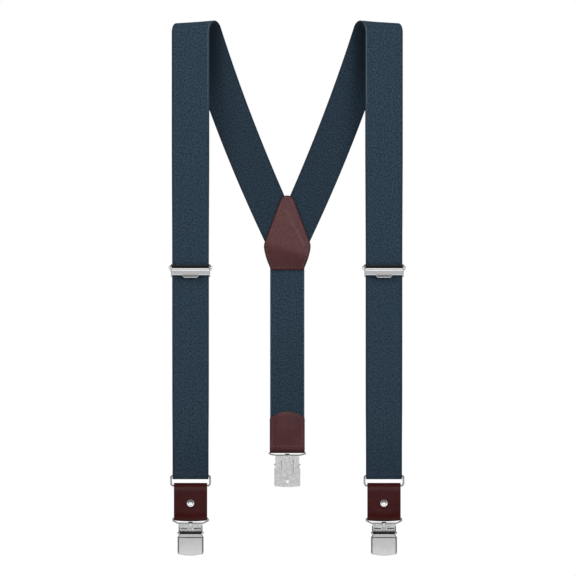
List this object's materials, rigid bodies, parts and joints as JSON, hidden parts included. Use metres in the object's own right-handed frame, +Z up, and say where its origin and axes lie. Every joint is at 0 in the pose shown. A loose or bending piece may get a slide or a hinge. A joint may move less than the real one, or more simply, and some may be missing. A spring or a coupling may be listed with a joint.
{
  "type": "suspenders",
  "caption": "Y-back elastic suspenders: two front straps with lever adjusters, wire rings, riveted leather tabs and clips, joined by a stitched leather patch to one back strap with a clip.",
  "frame": {"origin": "midway between the two shoulder loops, level with the highest point inside them, at mid thickness", "axes": "+Z up as worn, +X to the right as seen from the front, +Y from the front straps to the back strap"},
  "size_m": [0.2264, 0.0302, 0.5101],
  "materials": {
    "webbing": "blue-grey elastic webbing with a fine rib and a darker selvedge",
    "patch_leather": "smooth dark brown leather, satin, edge stitched",
    "tab_leather": "smooth red-brown leather, satin",
    "chrome": "bright nickel plate",
    "zinc_plate": "satin zinc-plated pressed steel",
    "grip_plastic": "white moulded plastic"
  },
  "bodies": {
    "root": {"left_strap": "webbing", "right_strap": "webbing", "patch_inner": "patch_leather", "patch_outer": "patch_leather", "back_strap": "webbing", "back_leather_end": "patch_leather"},
    "left_fold": {"left_strap_front_run": "webbing"},
    "left_adjuster": {"left_adjuster_frame": "zinc_plate", "left_adjuster_pin": "zinc_plate", "left_strap_return_run": "webbing"},
    "left_adjuster_lever": {"left_adjuster_lever": "chrome"},
    "left_ring": {"left_ring": "chrome"},
    "left_tab": {"left_leather_tab": "tab_leather", "left_rivet_cap": "chrome", "left_rivet_socket": "zinc_plate"},
    "left_bail": {"left_bail": "chrome"},
    "left_clip": {"left_clip_base": "zinc_plate", "left_clip_base_grip": "grip_plastic", "left_clip_pin": "zinc_plate"},
    "left_clip_lever": {"left_clip_lever": "chrome", "left_clip_lever_grip": "grip_plastic"},
    "right_fold": {"right_strap_front_run": "webbing"},
    "right_adjuster": {"right_adjuster_frame": "zinc_plate", "right_adjuster_pin": "zinc_plate", "right_strap_return_run": "webbing"},
    "right_adjuster_lever": {"right_adjuster_lever": "chrome"},
    "right_ring": {"right_ring": "chrome"},
    "right_tab": {"right_leather_tab": "tab_leather", "right_rivet_cap": "chrome", "right_rivet_socket": "zinc_plate"},
    "right_bail": {"right_bail": "chrome"},
    "right_clip": {"right_clip_base": "zinc_plate", "right_clip_base_grip": "grip_plastic", "right_clip_pin": "zinc_plate"},
    "right_clip_lever": {"right_clip_lever": "chrome", "right_clip_lever_grip": "grip_plastic"},
    "back_bail": {"back_bail": "chrome"},
    "back_clip": {"back_clip_base": "zinc_plate", "back_clip_base_grip": "grip_plastic", "back_clip_pin": "zinc_plate"},
    "back_clip_lever": {"back_clip_lever": "chrome", "back_clip_lever_grip": "grip_plastic"}
  },
  "joints": [
    {"name": "left_length", "type": "slide", "parent": "root", "child": "left_fold", "axis": [0, 0, 1], "range_m": [-0.09, 0.05], "deforming": ["left_strap_front_run"]},
    {"name": "left_adjuster_slide", "type": "slide", "parent": "left_fold", "child": "left_adjuster", "axis": [0, 0, 1], "range_m": [-0.09, 0.05], "deforming": ["left_strap_return_run"]},
    {"name": "left_adjuster_lever_hinge", "type": "hinge", "parent": "left_adjuster", "child": "left_adjuster_lever", "pos_m": [-0.092, -0.01195, -0.2321], "axis": [-1, 0, 0], "range_deg": [0, 100]},
    {"name": "left_ring_hinge", "type": "hinge", "parent": "left_fold", "child": "left_ring", "pos_m": [-0.092, -0.00715, -0.4308], "axis": [1, 0, 0], "range_deg": [-75, 75]},
    {"name": "left_tab_hinge", "type": "hinge", "parent": "left_ring", "child": "left_tab", "pos_m": [-0.092, -0.00715, -0.4402], "axis": [1, 0, 0], "range_deg": [-50, 50]},
    {"name": "left_bail_hinge", "type": "hinge", "parent": "left_tab", "child": "left_bail", "pos_m": [-0.092, -0.00715, -0.47095], "axis": [1, 0, 0], "range_deg": [-45, 45]},
    {"name": "left_clip_hinge", "type": "hinge", "parent": "left_bail", "child": "left_clip", "pos_m": [-0.092, -0.00715, -0.47585], "axis": [1, 0, 0], "range_deg": [-45, 45]},
    {"name": "left_clip_lever_hinge", "type": "hinge", "parent": "left_clip", "child": "left_clip_lever", "pos_m": [-0.092, -0.01055, -0.48495], "axis": [-1, 0, 0], "range_deg": [0, 100]},
    {"name": "right_length", "type": "slide", "parent": "root", "child": "right_fold", "axis": [0, 0, 1], "range_m": [-0.09, 0.05], "deforming": ["right_strap_front_run"]},
    {"name": "right_adjuster_slide", "type": "slide", "parent": "right_fold", "child": "right_adjuster", "axis": [0, 0, 1], "range_m": [-0.09, 0.05], "deforming": ["right_strap_return_run"]},
    {"name": "right_adjuster_lever_hinge", "type": "hinge", "parent": "right_adjuster", "child": "right_adjuster_lever", "pos_m": [0.092, -0.01195, -0.2321], "axis": [-1, 0, 0], "range_deg": [0, 100]},
    {"name": "right_ring_hinge", "type": "hinge", "parent": "right_fold", "child": "right_ring", "pos_m": [0.092, -0.00715, -0.4308], "axis": [1, 0, 0], "range_deg": [-75, 75]},
    {"name": "right_tab_hinge", "type": "hinge", "parent": "right_ring", "child": "right_tab", "pos_m": [0.092, -0.00715, -0.4402], "axis": [1, 0, 0], "range_deg": [-50, 50]},
    {"name": "right_bail_hinge", "type": "hinge", "parent": "right_tab", "child": "right_bail", "pos_m": [0.092, -0.00715, -0.47095], "axis": [1, 0, 0], "range_deg": [-45, 45]},
    {"name": "right_clip_hinge", "type": "hinge", "parent": "right_bail", "child": "right_clip", "pos_m": [0.092, -0.00715, -0.47585], "axis": [1, 0, 0], "range_deg": [-45, 45]},
    {"name": "right_clip_lever_hinge", "type": "hinge", "parent": "right_clip", "child": "right_clip_lever", "pos_m": [0.092, -0.01055, -0.48495], "axis": [-1, 0, 0], "range_deg": [0, 100]},
    {"name": "back_bail_hinge", "type": "hinge", "parent": "root", "child": "back_bail", "pos_m": [0, 0.0106, -0.40655], "axis": [1, 0, 0], "range_deg": [-45, 45]},
    {"name": "back_clip_hinge", "type": "hinge", "parent": "back_bail", "child": "back_clip", "pos_m": [0, 0.0106, -0.41145], "axis": [1, 0, 0], "range_deg": [-45, 45]},
    {"name": "back_clip_lever_hinge", "type": "hinge", "parent": "back_clip", "child": "back_clip_lever", "pos_m": [0, 0.014, -0.42055], "axis": [1, 0, 0], "range_deg": [0, 100]}
  ],
  "couplings": [
    {"joint": "left_adjuster_slide", "follows": "left_length", "ratio": 1},
    {"joint": "right_adjuster_slide", "follows": "right_length", "ratio": 1}
  ]
}
